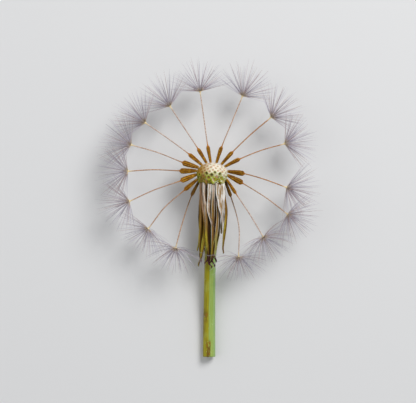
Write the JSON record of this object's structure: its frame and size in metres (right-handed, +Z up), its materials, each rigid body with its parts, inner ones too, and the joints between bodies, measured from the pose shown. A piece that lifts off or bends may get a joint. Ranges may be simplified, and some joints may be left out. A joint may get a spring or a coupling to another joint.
{
  "type": "dandelion seed head",
  "caption": "Ripe dandelion seed head, picked with a length of hollow stem, lying down: a ring of long-beaked seeds with open hair plumes round a pitted receptacle, above dry reflexed bracts.",
  "frame": {"origin": "on the surface that the seed head lies on, below the middle of its bounding box", "axes": "+Y along the head's axis, from the cut end of the stem towards the receptacle; +Z up from the surface, square to the ring of seeds"},
  "size_m": [0.0526, 0.0702, 0.0171],
  "materials": {
    "receptacle": "soft matt skin, cream on top and yellow-green at the rim, with small tan pits",
    "stem": "smooth satin green with fine lengthwise streaks",
    "bracts": "dry and matt, cream with brown edges above and olive green below",
    "achenes": "matt golden brown, ribbed, with a paler tan beak",
    "plumes": "fine silky hairs, silvery with a touch of lilac"
  },
  "bodies": {
    "root": {"receptacle": "receptacle", "stem": "stem", "bracts": "bracts", "seed_01_achene": "achenes", "seed_01_plume": "plumes", "seed_02_achene": "achenes", "seed_02_plume": "plumes", "seed_03_achene": "achenes", "seed_03_plume": "plumes", "seed_04_achene": "achenes", "seed_04_plume": "plumes", "seed_05_achene": "achenes", "seed_05_plume": "plumes", "seed_06_achene": "achenes", "seed_06_plume": "plumes", "seed_07_achene": "achenes", "seed_07_plume": "plumes", "seed_08_achene": "achenes", "seed_08_plume": "plumes", "seed_09_achene": "achenes", "seed_09_plume": "plumes", "seed_10_achene": "achenes", "seed_10_plume": "plumes", "seed_11_achene": "achenes", "seed_11_plume": "plumes", "seed_12_achene": "achenes", "seed_12_plume": "plumes", "seed_13_achene": "achenes", "seed_13_plume": "plumes", "seed_14_achene": "achenes", "seed_14_plume": "plumes", "seed_15_achene": "achenes", "seed_15_plume": "plumes"}
  },
  "joints": []
}
